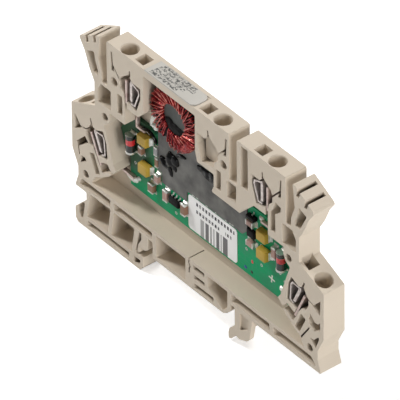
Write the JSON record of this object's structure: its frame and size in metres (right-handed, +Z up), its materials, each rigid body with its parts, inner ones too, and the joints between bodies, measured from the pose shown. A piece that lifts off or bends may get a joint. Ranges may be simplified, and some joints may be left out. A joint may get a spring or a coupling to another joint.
{
  "type": "signal converter",
  "caption": "Slim rail-mounted signal converter in a terminal-block housing, open on one side, with a circuit board, a ring-core transformer and spring-clamp terminals.",
  "frame": {"origin": "middle of the rail seat: the centre of the 35 mm rail's upper face, half-way through the housing's thickness", "axes": "+X along the housing towards the latch, +Y towards the closed side (the rail runs along Y), +Z up, away from the rail"},
  "size_m": [0.091, 0.006, 0.0598],
  "materials": {
    "housing": "satin, warm beige-grey",
    "label": "printed strip, left blank",
    "board": "glass-fibre board with green lacquer",
    "sheet": "dull dark grey",
    "sticker": "matt white",
    "ferrite": "dull dark grey",
    "winding": "red enamelled copper, glossy",
    "adhesive": "glossy black",
    "solder": "bright solder",
    "spring_steel": "bright spring steel",
    "tinned_bar": "tinned copper",
    "tantalum": "ochre moulding, satin",
    "ceramic_chip": "tan chip with tinned ends",
    "black_epoxy": "black epoxy",
    "diode": "red glass with tinned caps"
  },
  "bodies": {
    "root": {"housing": "housing", "label_strip": "label", "circuit_board": "board", "insulating_sheet": "sheet", "barcode_sticker": "sticker", "toroid_core": "ferrite", "toroid_winding": "winding", "adhesive_blob": "adhesive", "solder_joints": "solder", "clamp_spring_lower_left": "spring_steel", "current_bar_lower_left": "tinned_bar", "clamp_spring_upper_left": "spring_steel", "current_bar_upper_left": "tinned_bar", "clamp_spring_upper_right": "spring_steel", "current_bar_upper_right": "tinned_bar", "clamp_spring_lower_right": "spring_steel", "current_bar_lower_right": "tinned_bar", "tantalum_capacitor_1": "tantalum", "tantalum_capacitor_2": "tantalum", "tantalum_capacitor_3": "tantalum", "tantalum_capacitor_4": "tantalum", "ceramic_capacitor_1": "ceramic_chip", "ceramic_capacitor_2": "ceramic_chip", "ceramic_capacitor_3": "ceramic_chip", "ceramic_capacitor_4": "ceramic_chip", "ceramic_capacitor_5": "ceramic_chip", "ceramic_capacitor_6": "ceramic_chip", "ceramic_capacitor_7": "ceramic_chip", "ceramic_capacitor_8": "ceramic_chip", "switching_transistor": "black_epoxy", "signal_transistor": "black_epoxy", "driver_circuit": "black_epoxy", "diode_left": "diode", "diode_right": "diode"}
  },
  "joints": []
}
